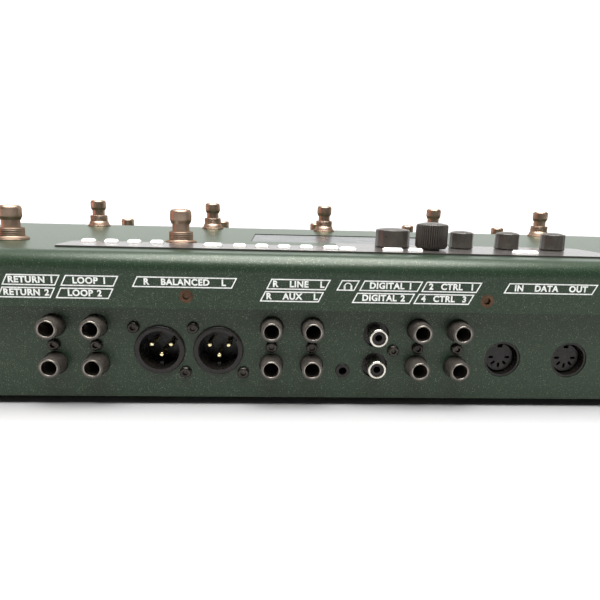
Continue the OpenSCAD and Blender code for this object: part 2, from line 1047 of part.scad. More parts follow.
module led() {
    translate([0, -led_forward, 0]) {
        translate([0, 0, -sheet_t - 2])
            cylinder(d = 4.4, h = 2);
        translate([0, 0, -sheet_t - eps])
            round_top(led_d, sheet_t + 0.5, 0.8);
    }
}

module status_leds() {
    color([0.85, 0.85, 0.8]) {
        at_front_switches()
            led();
        at_deck_switches()
            led();
    }
}

// ---------- keys and knobs ----------

module key(index) {
    k = key_list[index];
    color([0.93, 0.93, 0.9])
        deck_frame()
            translate([k[0], k[1], 0]) {
                translate([0, 0, key_lip_top])
                    linear_extrude(height = key_top - 0.5 - key_lip_top)
                        round_rect(k[2], key_depth, 0.8);
                translate([0, 0, key_lip_top])
                    linear_extrude(height = key_top - key_lip_top)
                        round_rect(k[2] - 1, key_depth - 1, 0.6);
                translate([0, 0, key_lip_top - key_lip_h])
                    linear_extrude(height = key_lip_h + eps)
                        round_rect(k[2] + 1.4, key_depth + 1.4, 0.8);
                translate([0, 0, key_foot])
                    cylinder(d = 2.4, h = key_lip_top - key_lip_h - key_foot + eps);
            }
}

// Pot and encoder cases under the deck, with their bushings
module rotary_case(x, y, bushing_h, od) {
    translate([x, y, 0])
        difference() {
            union() {
                translate([-5.8, -5.8, board_top])
                    cube([11.6, 11.6, -board_top - sheet_t - 0.2]);
                translate([0, 0, -sheet_t - 0.3])
                    cylinder(d = od, h = sheet_t + 0.3 + bushing_h);
            }
            translate([0, 0, shaft_low - 1.2])
                cylinder(d = shaft_bore_d, h = 20);
        }
}

module rotary_controls() {
    color([0.2, 0.2, 0.2])
        deck_frame() {
            rotary_case(volume_at[0], volume_at[1], 0.7, bushing_od);
            rotary_case(browse_at[0], browse_at[1], 2, bushing_od + 1.6);
            for (p = soft_list)
                rotary_case(p[0], p[1], 0.7, bushing_od);
        }
}

// A smooth knob with a slightly domed edge, a pointer groove and its shaft
module smooth_knob(x, y, d, top) {
    deck_frame()
        translate([x, y, 0]) {
            color([0.25, 0.22, 0.2])
                difference() {
                    translate([0, 0, knob_low])
                        round_top(d, top - knob_low, 1.2);
                    translate([-0.5, -d / 2 - 1, top - 0.5])
                        cube([1, d / 2 - 2, 2]);
                    translate([0, 0, knob_low - 1])
                        cylinder(d = shaft_d, h = 7);
                }
            color([0.6, 0.6, 0.58])
                translate([0, 0, shaft_low])
                    cylinder(d = shaft_d, h = knob_low + 6 - shaft_low);
        }
}

module volume_knob() {
    smooth_knob(volume_at[0], volume_at[1], volume_d, volume_top);
}

module soft_knob(number) {
    smooth_knob(soft_list[number - 1][0], soft_list[number - 1][1], soft_d, soft_top);
}

module browse_shaft() {
    color([0.6, 0.6, 0.58])
        deck_frame()
            translate([browse_at[0], browse_at[1], shaft_low])
                cylinder(d = shaft_d, h = browse_low + shaft_in_knob - shaft_low);
}

module browse_knob() {
    color([0.22, 0.2, 0.18])
        deck_frame()
            translate([browse_at[0], browse_at[1], browse_low])
                difference() {
                    round_top(browse_d, browse_top - browse_low, 1);
                    for (i = [0 : rib_count - 1])
                        rotate(i * 360 / rib_count)
                            translate([browse_d / 2, 0, -1])
                                cylinder(d = 0.6, h = browse_top - browse_low - 0.2, $fn = 16);
                    // recess that clears the encoder's bushing
                    translate([0, 0, -1])
                        cylinder(d = bushing_od + 3, h = 2.8);
                    translate([0, 0, -1])
                        cylinder(d = shaft_bore_d, h = shaft_in_knob + 1.1);
                }
}

top_cover();
bottom_tray();
control_panel();
display_window();
display_module();
panel_board();
main_board();
power_supply();
jack_sockets();
jack_ferrules();
xlr_shells();
xlr_pins();
phono_block();
phono_barrels();
headphone_jack();
midi_sockets();
data_sockets();
mains_inlet();
power_switch_frame();
power_rocker();
case_screws();
panel_screws();
rubber_feet();
footswitch_bodies();
footswitch_nuts();
status_leds();
standoffs();
rotary_controls();
volume_knob();
browse_shaft();
browse_knob();
soft_knob(1);  // soft_knob_1
soft_knob(2);  // soft_knob_2
soft_knob(3);  // soft_knob_3
key(0);  // key_a1
key(1);  // key_a2
key(2);  // key_a3
key(3);  // key_a4
key(4);  // key_b
key(5);  // key_c1
key(6);  // key_c2
key(7);  // key_c3
key(8);  // key_c4
key(9);  // key_d1
key(10);  // key_d2
key(11);  // key_e1
key(12);  // key_e2
key(13);  // key_f
footswitch_front(1);  // footswitch_front_1
footswitch_front(2);  // footswitch_front_2
footswitch_front(3);  // footswitch_front_3
footswitch_front(4);  // footswitch_front_4
footswitch_front(5);  // footswitch_front_5
footswitch_middle(1);  // footswitch_middle_1
footswitch_middle(2);  // footswitch_middle_2
footswitch_middle(3);  // footswitch_middle_3
footswitch_middle(4);  // footswitch_middle_4
footswitch_middle(5);  // footswitch_middle_5
footswitch_rear(1);  // footswitch_rear_1
footswitch_rear(2);  // footswitch_rear_2
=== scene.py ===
"""Looks for the multi-effects foot controller: materials, printed labels, turned metal parts,
light and camera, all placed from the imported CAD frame. Metres throughout."""

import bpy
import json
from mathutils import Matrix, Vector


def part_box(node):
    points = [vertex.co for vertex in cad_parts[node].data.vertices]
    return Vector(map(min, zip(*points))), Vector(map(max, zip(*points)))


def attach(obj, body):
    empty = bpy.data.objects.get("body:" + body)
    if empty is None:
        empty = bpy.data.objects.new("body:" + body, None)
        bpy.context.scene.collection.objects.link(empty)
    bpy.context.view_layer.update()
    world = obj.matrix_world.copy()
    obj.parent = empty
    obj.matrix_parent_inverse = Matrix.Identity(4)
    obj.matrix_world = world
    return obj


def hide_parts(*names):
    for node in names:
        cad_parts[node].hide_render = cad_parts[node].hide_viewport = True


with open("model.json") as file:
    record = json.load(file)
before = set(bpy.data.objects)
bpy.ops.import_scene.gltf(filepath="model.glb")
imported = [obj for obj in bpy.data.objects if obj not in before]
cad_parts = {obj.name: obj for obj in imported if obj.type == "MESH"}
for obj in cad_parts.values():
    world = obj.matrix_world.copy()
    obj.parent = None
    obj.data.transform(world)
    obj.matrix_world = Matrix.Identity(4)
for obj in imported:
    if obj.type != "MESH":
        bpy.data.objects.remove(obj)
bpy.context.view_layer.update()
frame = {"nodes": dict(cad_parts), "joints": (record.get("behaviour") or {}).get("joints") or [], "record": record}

import json
import math

import bpy
from mathutils import Matrix, Vector

MM = 0.001
NODES = frame["nodes"]
JOINTS = {j["child"]: j for j in frame["joints"]}
OUT = Vector((0, 1, 0))
HOOD_PROUD = 5
EDGE_ANGLE = 40


# ---------- places, read from the frame ----------

def islands(node):
    """The boxes of a CAD node's separate solids, as (low, high) corners."""
    mesh = NODES[node].data
    spot = {}
    parent = []

    def root(i):
        while parent[i] != i:
            parent[i] = parent[parent[i]]
            i = parent[i]
        return i

    index = []
    for v in mesh.vertices:
        key = tuple(round(c, 6) for c in v.co)
        if key not in spot:
            spot[key] = len(parent)
            parent.append(len(parent))
        index.append(spot[key])
    for p in mesh.polygons:
        first = root(index[p.vertices[0]])
        for other in p.vertices[1:]:
            parent[root(index[other])] = first
    groups = {}
    for key, i in spot.items():
        groups.setdefault(root(i), []).append(Vector(key))
    boxes = [
        (
            Vector(min(p[k] for p in points) for k in range(3)),
            Vector(max(p[k] for p in points) for k in range(3)),
        )
        for points in groups.values()
    ]
    return sorted(boxes, key=lambda b: (round(b[0].x, 4), round(b[0].z, 4)))


def hood_face():
    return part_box("top_cover")[1].y


def panel_face():
    return hood_face() - HOOD_PROUD * MM


# ---------- meshes ----------

def mesh_object(name, verts, faces, smooth=True):
    mesh = bpy.data.meshes.new(name)
    mesh.from_pydata([tuple(v) for v in verts], [], faces)
    mesh.validate()
    mesh.update()
    mesh.polygons.foreach_set("use_smooth", [smooth] * len(mesh.polygons))
    obj = bpy.data.objects.new(name, mesh)
    bpy.context.scene.collection.objects.link(obj)
    return obj


def basis(axis):
    """Two directions square to axis."""
    side = axis.orthogonal().normalized()
    if abs(axis.x) < 0.9:
        side = (Vector((1, 0, 0)) - axis * axis.x).normalized()
    return side, axis.cross(side)


def turned(profile, place, axis, steps=64, closed=False, wobble=None):
    """Verts and faces of a lathe shape: profile is (radius, height) pairs in mm along axis."""
    side, other = basis(axis)
    verts, faces = [], []
    for k in range(steps):
        a = 2 * math.pi * k / steps
        way = side * math.cos(a) + other * math.sin(a)
        for radius, height in profile:
            r = radius + (wobble(a, radius, height) if wobble else 0)
            verts.append(place + way * r * MM + axis * height * MM)
    n = len(profile)
    last = n if closed else n - 1
    for k in range(steps):
        here, there = k * n, (k + 1) % steps * n
        for i in range(last):
            j = (i + 1) % n
            faces.append((here + i, there + i, there + j, here + j))
    return verts, faces


def joined(parts):
    """Several (verts, faces) as one."""
    verts, faces = [], []
    for v, f in parts:
        base = len(verts)
        verts.extend(v)
        faces.extend(tuple(base + i for i in face) for face in f)
    return verts, faces


def arc(cx, cy, r, start, end, steps=6):
    """Profile points on an arc, angles in degrees."""
    spread = [start + (end - start) * i / steps for i in range(steps + 1)]
    return [
        (cx + r * math.cos(math.radians(a)), cy + r * math.sin(math.radians(a)))
        for a in spread
    ]


def sharpen(obj, angle=35):
    """Smooth shading that breaks at edges sharper than angle degrees."""
    obj.data.polygons.foreach_set("use_smooth", [True] * len(obj.data.polygons))
    limit = math.cos(math.radians(angle))
    normals = [p.normal for p in obj.data.polygons]
    users = {}
    for p in obj.data.polygons:
        for key in p.edge_keys:
            users.setdefault(key, []).append(p.index)
    for edge in obj.data.edges:
        near = users.get(tuple(sorted(edge.vertices)), [])
        sharp = len(near) != 2 or normals[near[0]].dot(normals[near[1]]) < limit
        edge.use_edge_sharp = sharp
    return obj


def finish_piece(obj, material, body, replaces=()):
    obj.data.materials.clear()
    obj.data.materials.append(material)
    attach(obj, body)
    if replaces:
        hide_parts(*replaces)
    return obj


def soften(node, width, segments=2):
    """Rounds a CAD node's outer edges with modifiers, leaving its mesh alone."""
    obj = NODES[node]
    weld = obj.modifiers.new("weld", "WELD")
    weld.merge_threshold = 0.002 * MM
    bevel = obj.modifiers.new("edges", "BEVEL")
    bevel.width = width * MM
    bevel.segments = segments
    bevel.limit_method = "ANGLE"
    bevel.angle_limit = math.radians(EDGE_ANGLE)
    bevel.harden_normals = False
    bevel.use_clamp_overlap = True


# ---------- material building ----------

class Look:
    """A principled material and a few helpers to build its texture nodes."""

    def __init__(self, name):
        self.material = bpy.data.materials.new(name)
        self.material.use_nodes = True
        self.tree = self.material.node_tree
        self.shader = self.tree.nodes["Principled BSDF"]
        self.place = self.tree.nodes.new("ShaderNodeTexCoord").outputs["Object"]

    def node(self, kind, **settings):
        made = self.tree.nodes.new(kind)
        for key, value in settings.items():
            setattr(made, key, value)
        return made

    def link(self, source, target):
        self.tree.links.new(source, target)

    def stretch(self, scale):
        mapping = self.node("ShaderNodeMapping")
        mapping.inputs["Scale"].default_value = scale
        self.link(self.place, mapping.inputs["Vector"])
        return mapping.outputs["Vector"]

    def noise(self, scale, detail=3, rough=0.55, where=None):
        tex = self.node("ShaderNodeTexNoise")
        tex.inputs["Scale"].default_value = scale
        tex.inputs["Detail"].default_value = detail
        tex.inputs["Roughness"].default_value = rough
        self.link(where or self.place, tex.inputs["Vector"])
        return tex.outputs["Fac"]

    def cells(self, scale):
        tex = self.node("ShaderNodeTexVoronoi")
        tex.inputs["Scale"].default_value = scale
        self.link(self.place, tex.inputs["Vector"])
        return tex

    def remap(self, value, low, high, to_low=0.0, to_high=1.0):
        ramp = self.node("ShaderNodeMapRange")
        ramp.inputs["From Min"].default_value = low
        ramp.inputs["From Max"].default_value = high
        ramp.inputs["To Min"].default_value = to_low
        ramp.inputs["To Max"].default_value = to_high
        self.link(value, ramp.inputs["Value"])
        return ramp.outputs["Result"]

    def maths(self, operation, a, b):
        made = self.node("ShaderNodeMath", operation=operation)
        for socket, value in zip(made.inputs, (a, b)):
            if isinstance(value, (int, float)):
                socket.default_value = value
            else:
                self.link(value, socket)
        return made.outputs[0]

    def mix(self, factor, a, b):
        made = self.node("ShaderNodeMix", data_type="RGBA")
        for index, value in ((0, factor), (6, a), (7, b)):
            socket = made.inputs[index]
            if isinstance(value, (int, float)):
                socket.default_value = value
            elif isinstance(value, tuple):
                socket.default_value = (*value, 1)
            else:
                self.link(value, socket)
        return made.outputs[2]

    def colour(self, source):
        if isinstance(source, tuple):
            self.shader.inputs["Base Color"].default_value = (*source, 1)
        else:
            self.link(source, self.shader.inputs["Base Color"])

    def rough(self, source):
        if isinstance(source, (int, float)):
            self.shader.inputs["Roughness"].default_value = source
        else:
            self.link(source, self.shader.inputs["Roughness"])

    def bump(self, height, strength, distance, after=None):
        made = self.node("ShaderNodeBump")
        made.inputs["Strength"].default_value = strength
        made.inputs["Distance"].default_value = distance * MM
        self.link(height, made.inputs["Height"])
        if after is not None:
            self.link(after, made.inputs["Normal"])
        return made.outputs["Normal"]

    def normal(self, source):
        self.link(source, self.shader.inputs["Normal"])

    def fixed(self, **values):
        for key, value in values.items():
            self.shader.inputs[key.replace("_", " ")].default_value = value


def paint_look():
    """Dark green powder coat: very fine orange peel, small pale flakes, satin clear layer."""
    look = Look("green_powder_coat")
    flakes = look.cells(4200)
    pick = look.node("ShaderNodeSeparateColor")
    look.link(flakes.outputs["Color"], pick.inputs["Color"])
    chosen = look.remap(pick.outputs["Red"], 0.72, 1.0)
    tint = look.mix(look.noise(40, 4), (0.0040, 0.0140, 0.0065), (0.0060, 0.0185, 0.0090))
    tint = look.mix(look.remap(look.noise(1900, 2), 0.35, 0.7, 0, 0.5), tint,
                    (0.017, 0.038, 0.024))
    tint = look.mix(look.maths("MULTIPLY", chosen, 0.12), tint, (0.17, 0.24, 0.15))
    glint = look.remap(pick.outputs["Blue"], 0.955, 0.985)
    tint = look.mix(look.maths("MULTIPLY", glint, 0.5), tint, (0.30, 0.30, 0.24))
    dust = look.cells(420)
    speck = look.remap(dust.outputs["Distance"], 0.075, 0.045)
    tint = look.mix(look.maths("MULTIPLY", speck, 0.22), tint, (0.5, 0.5, 0.42))
    look.colour(tint)
    look.rough(look.remap(look.noise(1700, 2), 0.3, 0.7, 0.34, 0.46))
    peel = look.bump(look.noise(2300, 2), 0.30, 0.06)
    look.normal(look.bump(pick.outputs["Green"], 0.22, 0.05, after=peel))
    look.link(look.bump(look.noise(2300, 2), 0.10, 0.05), look.shader.inputs["Coat Normal"])
    look.link(look.maths("MULTIPLY", glint, 0.9), look.shader.inputs["Metallic"])
    look.fixed(Specular_IOR_Level=0.30, Coat_Weight=0.45, Coat_Roughness=0.28,
               Coat_IOR=1.38, Coat_Tint=(0.93, 1.0, 0.86, 1), Specular_Tint=(0.97, 1.0, 0.86, 1))
    return look.material


def metal_look(name, light, dark, rough=(0.2, 0.36), brushed=(1, 1, 1), grain=1500, metallic=1.0,
               edge=(1, 1, 1)):
    """Bare or plated metal with faint colour drift, brushed grain and fingermarks."""
    look = Look(name)
    drift = look.remap(look.noise(160, 4), 0.3, 0.7)
    look.colour(look.mix(drift, dark, light))
    strands = look.noise(grain, 3, 0.6, where=look.stretch(brushed))
    smudge = look.noise(260, 2)
    look.rough(look.remap(look.maths("ADD", strands, smudge), 0.7, 1.3, *rough))
    look.normal(look.bump(strands, 0.12, 0.05))
    look.fixed(Metallic=metallic, Specular_Tint=(*edge, 1))
    return look.material


def plastic_look(name, light, dark, rough=(0.4, 0.6), grain=1400, depth=0.10, strength=0.4,
                 specular=0.5, scuffs=0.0, scuff_tint=(0.3, 0.28, 0.25), coat=0.0):
    """Moulded plastic: fine grain, slow colour drift and optional pale scuffs."""
    look = Look(name)
    base = look.mix(look.remap(look.noise(210, 4), 0.3, 0.7), dark, light)
    if scuffs:
        worn = look.remap(look.noise(520, 6, 0.75), 0.56, 0.72, 0, scuffs)
        base = look.mix(worn, base, scuff_tint)
    look.colour(base)
    look.rough(look.remap(look.noise(500, 3), 0.3, 0.7, *rough))
    look.normal(look.bump(look.noise(grain, 2), strength, depth))
    look.fixed(Specular_IOR_Level=specular, Coat_Weight=coat, Coat_Roughness=0.20, Coat_IOR=1.35)
    return look.material


def silicone_look():
    """White translucent key caps that carry the light from their tops down their sides."""
    look = Look("key_moulding")
    look.colour(look.mix(look.remap(look.noise(210, 4), 0.3, 0.7), (0.90, 0.88, 0.84),
                         (0.95, 0.94, 0.91)))
    look.rough(look.remap(look.noise(500, 3), 0.3, 0.7, 0.25, 0.4))
    look.normal(look.bump(look.noise(1500, 2), 0.3, 0.03))
    look.fixed(Subsurface_Weight=0.9, Subsurface_Radius=(1.0, 0.95, 0.9), Subsurface_Scale=0.004,
               Coat_Weight=0.3, Coat_Roughness=0.2)
    return look.material


def board_look():
    """Solder mask with faint copper tracks under it and pale pads."""
    look = Look("solder_mask")
    tracks = look.node("ShaderNodeTexBrick")
    tracks.inputs["Scale"].default_value = 130
    tracks.inputs["Mortar Size"].default_value = 0.03
    look.link(look.place, tracks.inputs["Vector"])
    line = tracks.outputs["Fac"]
    base = look.mix(line, (0.012, 0.085, 0.04), (0.03, 0.17, 0.08))
    pads = look.remap(look.cells(240).outputs["Distance"], 0.16, 0.12)
    look.colour(look.mix(pads, base, (0.62, 0.58, 0.42)))
    look.rough(look.remap(look.noise(300), 0.3, 0.7, 0.3, 0.5))
    look.normal(look.bump(line, 0.3, 0.05))
    return look.material


def glass_look():
    """Dark anti-glare display glass with a little dust."""
    look = Look("display_glass")
    dust = look.remap(look.noise(700, 4, 0.7), 0.62, 0.75, 0, 0.15)
    look.colour(look.mix(dust, (0.012, 0.016, 0.018), (0.2, 0.2, 0.2)))
    look.rough(look.remap(look.noise(90, 3), 0.35, 0.7, 0.24, 0.34))
    look.normal(look.bump(look.noise(2400, 1), 0.05, 0.02))
    look.fixed(Specular_IOR_Level=0.4, Coat_Weight=0.5, Coat_Roughness=0.25)
    return look.material


def ink_look():
    """White screen-printing ink: slightly uneven edge to edge."""
    look = Look("white_print")
    thin = look.remap(look.noise(1500, 3), 0.35, 0.62, 0, 1)
    look.colour(look.mix(thin, (0.62, 0.63, 0.60), (0.86, 0.87, 0.84)))
    look.rough(look.remap(look.noise(800), 0.3, 0.7, 0.5, 0.7))
    look.normal(look.bump(look.noise(2600, 2), 0.3, 0.03))
    return look.material


LOOKS = {
    "green_paint": paint_look(),
    "panel_plastic": plastic_look(
        "control_overlay", (0.075, 0.066, 0.060), (0.050, 0.045, 0.042), (0.34, 0.46),
        depth=0.03, specular=0.2, coat=0.9),
    "display_glass": glass_look(),
    "module_metal": metal_look(
        "folded_aluminium", (0.62, 0.63, 0.65), (0.5, 0.51, 0.53), brushed=(1, 30, 1)),
    "circuit_board": board_look(),
    "supply_parts": plastic_look(
        "wound_parts", (0.55, 0.46, 0.22), (0.30, 0.24, 0.12), grain=600, depth=0.3),
    "socket_plastic": plastic_look(
        "socket_moulding", (0.016, 0.0135, 0.0115), (0.009, 0.008, 0.007), (0.24, 0.36),
        grain=1700, strength=0.4, specular=0.3, scuffs=0.25, scuff_tint=(0.10, 0.09, 0.078)),
    "ferrule_metal": metal_look(
        "worn_nickel", (0.36, 0.33, 0.285), (0.16, 0.145, 0.125), (0.26, 0.46)),
    "contact_gold": metal_look(
        "pale_gold", (0.95, 0.86, 0.55), (0.82, 0.70, 0.38), (0.16, 0.3)),
    "bright_chrome": metal_look(
        "bright_nickel", (0.78, 0.74, 0.66), (0.56, 0.53, 0.47), (0.16, 0.3)),
    "connector_steel": metal_look(
        "drawn_steel", (0.66, 0.66, 0.66), (0.5, 0.5, 0.5), brushed=(1, 1, 12)),
    "mains_plastic": plastic_look(
        "black_moulding", (0.022, 0.022, 0.022), (0.014, 0.014, 0.014), (0.35, 0.5)),
    "black_screw": metal_look(
        "black_oxide", (0.060, 0.053, 0.046), (0.026, 0.023, 0.020), (0.20, 0.34),
        metallic=0.9),
    "bronze_screw": metal_look(
        "bronze_screw", (0.11, 0.066, 0.042), (0.04, 0.025, 0.017), (0.25, 0.4)),
    "foot_rubber": plastic_look(
        "foot_rubber", (0.020, 0.020, 0.020), (0.012, 0.012, 0.012), (0.7, 0.9), specular=0.3),
    "switch_case": plastic_look(
        "switch_case", (0.14, 0.13, 0.12), (0.09, 0.085, 0.08)),
    "bronze_metal": metal_look(
        "champagne_bronze", (0.44, 0.325, 0.245), (0.32, 0.23, 0.17), (0.36, 0.48),
        brushed=(1, 1, 6), edge=(0.42, 0.34, 0.28)),
    "lens_plastic": plastic_look(
        "milky_lens", (0.8, 0.81, 0.77), (0.7, 0.71, 0.68), (0.15, 0.3)),
    "standoff_brass": metal_look(
        "turned_brass", (0.78, 0.6, 0.28), (0.62, 0.46, 0.2)),
    "knob_plastic": plastic_look(
        "knob_moulding", (0.060, 0.052, 0.042), (0.040, 0.035, 0.029), (0.26, 0.40),
        grain=1900, strength=0.25, coat=0.15),
    "key_plastic": silicone_look(),
}
NOSES = plastic_look(
    "scuffed_noses", (0.075, 0.064, 0.054), (0.040, 0.034, 0.029), (0.34, 0.55),
    grain=1700, depth=0.12, strength=0.5, scuffs=0.5, scuff_tint=(0.22, 0.195, 0.165))
INK = ink_look()
SLOTS = {s["node"]: s["material_slot"] for s in frame["record"]["subparts"]}


def dress_frame():
    """Gives every CAD node its material and softens the sharp edges that show."""
    for name, obj in NODES.items():
        obj.data.materials.clear()
        obj.data.materials.append(NOSES if name == "jack_sockets" else LOOKS[SLOTS[name]])
    soften("top_cover", 0.35)
    for name in ("control_panel", "mains_inlet", "power_switch_frame", "power_rocker"):
        soften(name, 0.25)
    for name in NODES:
        if name.startswith("key_"):
            soften(name, 0.35, 3)


# ---------- printed labels ----------

LABEL_SLANT = 2.3
LINE_W = 0.5
INK_H = 0.06
LETTER_H = 3.8
ROW_TOP = (56.1, 60.8)
ROW_LOW = (50.65, 55.3)


def stroke_ring(corners, width):
    """The corners of a closed outline moved sideways by width mm, for its other edge."""
    n = len(corners)
    inner = []
    for i in range(n):
        before = (corners[i] - corners[i - 1]).normalized()
        after = (corners[(i + 1) % n] - corners[i]).normalized()
        left_before = Vector((-before.y, before.x))
        left_after = Vector((-after.y, after.x))
        bisector = (left_before + left_after).normalized()
        inner.append(corners[i] + bisector * width / max(0.3, bisector.dot(left_after)))
    return inner


def raised(outline_pairs, depth_y):
    """Extrudes ring quads, given as (outer, inner) point lists in hood coordinates, in mm."""
    verts, faces = [], []
    for outer, inner in outline_pairs:
        n = len(outer)
        base = len(verts)
        for lift in (0, INK_H):
            for ring in (outer, inner):
                verts.extend(Vector((p.x * MM, depth_y + lift * MM, p.y * MM)) for p in ring)
        for i in range(n):
            j = (i + 1) % n
            low_out, low_in, top_out, top_in = (base + k * n for k in range(4))
            faces.append((top_out + i, top_out + j, top_in + j, top_in + i))
            faces.append((low_out + i, low_out + j, top_out + j, top_out + i))
            faces.append((low_in + i, top_in + i, top_in + j, low_in + j))
            faces.append((low_out + i, low_in + i, low_in + j, low_out + j))
    return verts, faces


def frame_outline(left, right, row):
    """A leaning label frame between two X places on the hood, seen from behind."""
    low, high = row
    half = LABEL_SLANT / 2
    corners = [
        Vector((left + half, low)), Vector((right + half, low)),
        Vector((right - half, high)), Vector((left - half, high)),
    ]
    return corners, stroke_ring(corners, -LINE_W)


def lettering(name, text, x, row):
    """Flat raised letters centred at x on the hood."""
    curve = bpy.data.curves.new(name, "FONT")
    curve.body = text
    curve.size = LETTER_H * MM
    curve.space_character = 1.1
    curve.space_word = 1.35
    curve.align_x = "CENTER"
    curve.align_y = "CENTER"
    curve.offset = 0.15 * MM
    curve.extrude = INK_H * MM / 2
    curve.resolution_u = 4
    source = bpy.data.objects.new(name + "_curve", curve)
    bpy.context.scene.collection.objects.link(source)
    source.location = (x * MM, hood_face() + INK_H * MM / 2, sum(row) / 2 * MM)
    source.rotation_euler = (math.pi / 2, 0, math.pi)
    bpy.context.view_layer.update()
    mesh = bpy.data.meshes.new_from_object(
        source.evaluated_get(bpy.context.evaluated_depsgraph_get()))
    mesh.transform(source.matrix_world)
    bpy.data.objects.remove(source)
    bpy.data.curves.remove(curve)
    mesh.name = name
    obj = bpy.data.objects.new(name, mesh)
    bpy.context.scene.collection.objects.link(obj)
    return obj


def headphone_mark(x, row):
    """Headband and two cups, drawn as outlines."""
    low, high = row
    mid_z = (low + high) / 2
    pairs = []
    band_out = [Vector((x + px, mid_z - 0.5 + pz)) for px, pz in arc(0, 0, 1.75, 0, 180, 14)]
    band_in = [Vector((x + px, mid_z - 0.5 + pz)) for px, pz in arc(0, 0, 1.3, 0, 180, 14)]
    outer = band_out + band_in[::-1]
    verts, faces = [], []
    n = len(outer)
    for lift in (0, INK_H):
        verts.extend(Vector((p.x * MM, hood_face() + lift * MM, p.y * MM)) for p in outer)
    half = n // 2
    for i in range(half - 1):
        a, b, c, d = i, i + 1, n - 2 - i, n - 1 - i
        faces.append((n + a, n + b, n + c, n + d))
        faces.append((a, d, c, b))
    for i in range(n):
        j = (i + 1) % n
        faces.append((i, j, n + j, n + i))
    parts = [(verts, faces)]
    for side in (-1, 1):
        cx = x + side * 1.5
        cup = [Vector((cx + dx, mid_z - 0.9 + dz)) for dx, dz in
               ((-0.42, -0.85), (0.42, -0.85), (0.42, 0.85), (-0.42, 0.85))]
        pairs.append((cup, [Vector((cx, mid_z - 0.9))] * 4))
    parts.append(raised(pairs, hood_face()))
    return joined(parts)


def labels():
    """Every printed label: name, text, X of its two ends seen from behind in mm, and row."""
    plan = [
        ("input", "INPUT", 194, 176, ROW_TOP),
        ("return_1", "RETURN 1", 150.5, 128.3, ROW_TOP),
        ("return_2", "RETURN 2", 152.8, 130.6, ROW_LOW),
        ("loop_1", "LOOP 1", 126.2, 103.9, ROW_TOP),
        ("loop_2", "LOOP 2", 128.5, 106.2, ROW_LOW),
        ("balanced", "R   BALANCED   L", 96.25, 53.6, ROW_TOP),
        ("line", "R   LINE   L", 38.85, 12.95, ROW_TOP),
        ("aux", "R   AUX   L", 41.55, 15.75, ROW_LOW),
        ("phones", "", 8.15, 0.2, ROW_TOP),
        ("digital_1", "DIGITAL 1", -1.8, -27.85, ROW_TOP),
        ("digital_2", "DIGITAL 2", 1.15, -24.7, ROW_LOW),
        ("pedal_1", "2  CTRL  1", -29.45, -54.45, ROW_TOP),
        ("pedal_3", "4  CTRL  3", -26.35, -51.4, ROW_LOW),
        ("data", "IN   DATA   OUT", -66.7, -107.5, ROW_TOP),
        ("network", "NET", -122, -136, ROW_TOP),
        ("ports", "PORTS", -142, -174, ROW_TOP),
        ("power", "POWER", -184, -230, ROW_TOP),
    ]
    for name, text, left, right, row in plan:
        ring = mesh_object(f"label_{name}_frame", *raised([frame_outline(left, right, row)],
                                                         hood_face()), smooth=False)
        finish_piece(ring, INK, "case")
        if text:
            words = lettering(f"label_{name}_text", text, (left + right) / 2, row)
            finish_piece(words, INK, "case")
    mark = mesh_object("label_phones_mark", *headphone_mark(4.2, ROW_TOP), smooth=False)
    finish_piece(mark, INK, "case")


# ---------- turned parts ----------

WASHER_REAR = 1.7
WASHER_OTHER = 3.7
PLUNGER_TOP = 15.7
NUT_H = 4.3


def stem_axis(body):
    """The upward direction of a pressed or turned part, from its joint."""
    axis = Vector(JOINTS[body]["axis"]).normalized()
    return axis if axis.z > 0 else -axis


def switch_stand(name):
    """A foot switch's axis, the deck point under it and its washer's height in mm."""
    top, axis = crown(name)
    washer = WASHER_REAR if "_rear_" in name else WASHER_OTHER
    return axis, top - axis * (washer + PLUNGER_TOP) * MM, washer


def plunger_profile(base):
    """Half section of a foot switch's plunger above the deck; base is its washer's height."""
    neck, head, top = base + 2.5, base + 8.8, base + PLUNGER_TOP
    return [
        (0.001, neck), (4.3, neck), (4.3, head - 0.5), *arc(4.7, head - 0.2, 0.4, -180, -90, 4),
        (5.0, head + 0.35), *arc(4.95, head + 1.25, 0.45, -40, 0, 3),
        (5.4, top - 2.2), *arc(3.5, top - 2.0, 1.9, 0, 66, 10), (3.0, top - 0.16),
        (1.6, top - 0.03), (0.001, top),
    ]


def plungers():
    for name in list(NODES):
        if not name.startswith("footswitch_") or name not in JOINTS:
            continue
        axis, deck, washer = switch_stand(name)
        obj = mesh_object(f"plunger_{name[11:]}", *turned(plunger_profile(washer), deck, axis))
        sharpen(obj, 50)
        finish_piece(obj, LOOKS["bronze_metal"], name, [name])


def nut_profile(washer):
    """Closed half section of a foot switch's flared washer and dress nut."""
    nut = washer + NUT_H
    flare = [(7.25, 1.15), (6.55, washer - 0.35)] if washer > 2 else [(7.3, 1.15), (6.9, 1.4)]
    return [
        (5.05, 0.0), (8.0, 0.0), *arc(7.9, 0.3, 0.22, -60, 60, 4), (7.75, 0.55),
        *arc(7.5, 0.85, 0.3, -60, 80, 5), *flare, (6.2, washer - 0.05),
        (6.12, washer + 0.1), (5.95, washer + 0.35), (6.1, washer + 0.6),
        (6.1, washer + 1.3), (6.0, washer + 1.4), (6.1, washer + 1.5),
        (6.1, washer + 2.2), (6.0, washer + 2.3), (6.1, washer + 2.4),
        (6.1, nut - 1.1), (5.98, nut - 0.95), (6.05, nut - 0.8),
        *arc(5.7, nut - 0.35, 0.35, 0, 90, 4), (5.2, nut), (5.05, nut - 0.15),
    ]


def bushing_profile(washer):
    """The threaded bushing's visible mouth inside the nut."""
    top = washer + 3.9
    return [(4.4, 0.5), (5.0, 0.5), (5.0, top - 0.1), (4.9, top), (4.5, top), (4.4, top - 0.1)]


